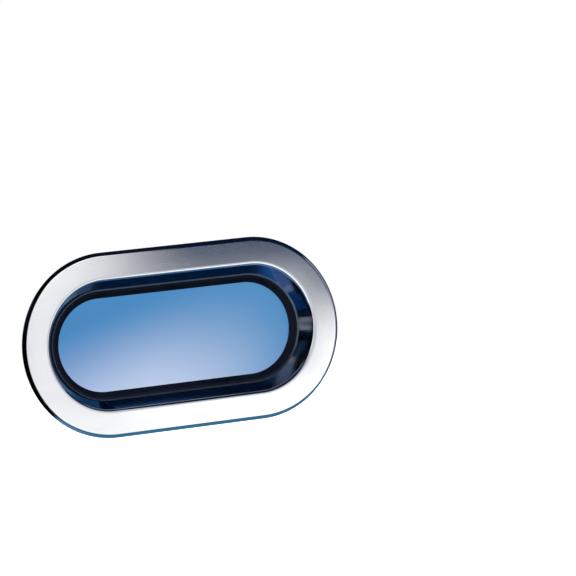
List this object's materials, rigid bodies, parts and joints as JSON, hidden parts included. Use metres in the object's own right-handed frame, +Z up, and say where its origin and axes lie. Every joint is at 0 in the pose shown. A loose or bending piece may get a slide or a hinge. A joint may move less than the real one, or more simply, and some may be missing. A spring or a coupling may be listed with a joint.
{
  "type": "opening porthole",
  "caption": "Stadium-shaped opening porthole with a satin stainless flange, black lens seal and blue acrylic sash hinged below and latched above.",
  "frame": {"origin": "middle of the opening, on the plane of the hull's outer face, which is the gasket's rear face", "axes": "+X along the opening, +Z up, +Y into the cabin; the outside of the boat is -Y"},
  "size_m": [0.372, 0.0494, 0.2],
  "materials": {
    "frame_stainless": "satin brushed front flange, mirror-polished edges and recess wall",
    "fitting_steel": "satin stainless steel",
    "screw_steel": "bright stainless steel, cross recess",
    "pin_steel": "turned and polished stainless steel",
    "tinted_acrylic": "clear blue-tinted acrylic, polished",
    "neoprene": "matte black closed-cell sheet",
    "seal_rubber": "smooth black extruded rubber",
    "pad_rubber": "matte black",
    "trim_plastic": "fine-grained off-white moulding",
    "washer_nylon": "natural nylon",
    "lever_nylon": "mid-grey glass-filled nylon",
    "cap_nylon": "dark grey nylon, semi-gloss"
  },
  "bodies": {
    "frame": {"outer_frame": "frame_stainless", "hull_gasket": "neoprene", "lens_seal": "seal_rubber", "interior_trim_ring": "trim_plastic", "trim_ring_screws": "screw_steel", "hinge_bracket_left": "fitting_steel", "hinge_bracket_right": "fitting_steel", "hinge_bracket_screws": "screw_steel", "hinge_pin_left": "pin_steel", "hinge_pin_right": "pin_steel", "keeper_left": "fitting_steel", "keeper_right": "fitting_steel", "keeper_screws": "screw_steel"},
    "sash": {"lens": "tinted_acrylic", "hinge_leaf_left": "fitting_steel", "hinge_leaf_right": "fitting_steel", "hinge_leaf_screws": "screw_steel", "hinge_leaf_pads": "pad_rubber", "hinge_washers": "washer_nylon", "latch_base_left": "fitting_steel", "latch_base_right": "fitting_steel", "latch_base_pads": "pad_rubber", "latch_base_screws": "screw_steel", "latch_spindle_left": "pin_steel", "latch_spindle_right": "pin_steel", "latch_washers": "washer_nylon"},
    "latch_left": {"latch_lever_left": "lever_nylon", "latch_cam_left": "fitting_steel", "spindle_cap_left": "cap_nylon"},
    "latch_right": {"latch_lever_right": "lever_nylon", "latch_cam_right": "fitting_steel", "spindle_cap_right": "cap_nylon"}
  },
  "joints": [
    {"name": "sash_hinge", "type": "hinge", "parent": "frame", "child": "sash", "pos_m": [0, 0.0275, -0.0725], "axis": [-1, 0, 0], "range_deg": [0, 100]},
    {"name": "latch_left_turn", "type": "hinge", "parent": "sash", "child": "latch_left", "pos_m": [-0.06, 0.035, 0.06], "axis": [0, 1, 0], "range_deg": [0, 90]},
    {"name": "latch_right_turn", "type": "hinge", "parent": "sash", "child": "latch_right", "pos_m": [0.06, 0.035, 0.06], "axis": [0, -1, 0], "range_deg": [0, 90]}
  ]
}
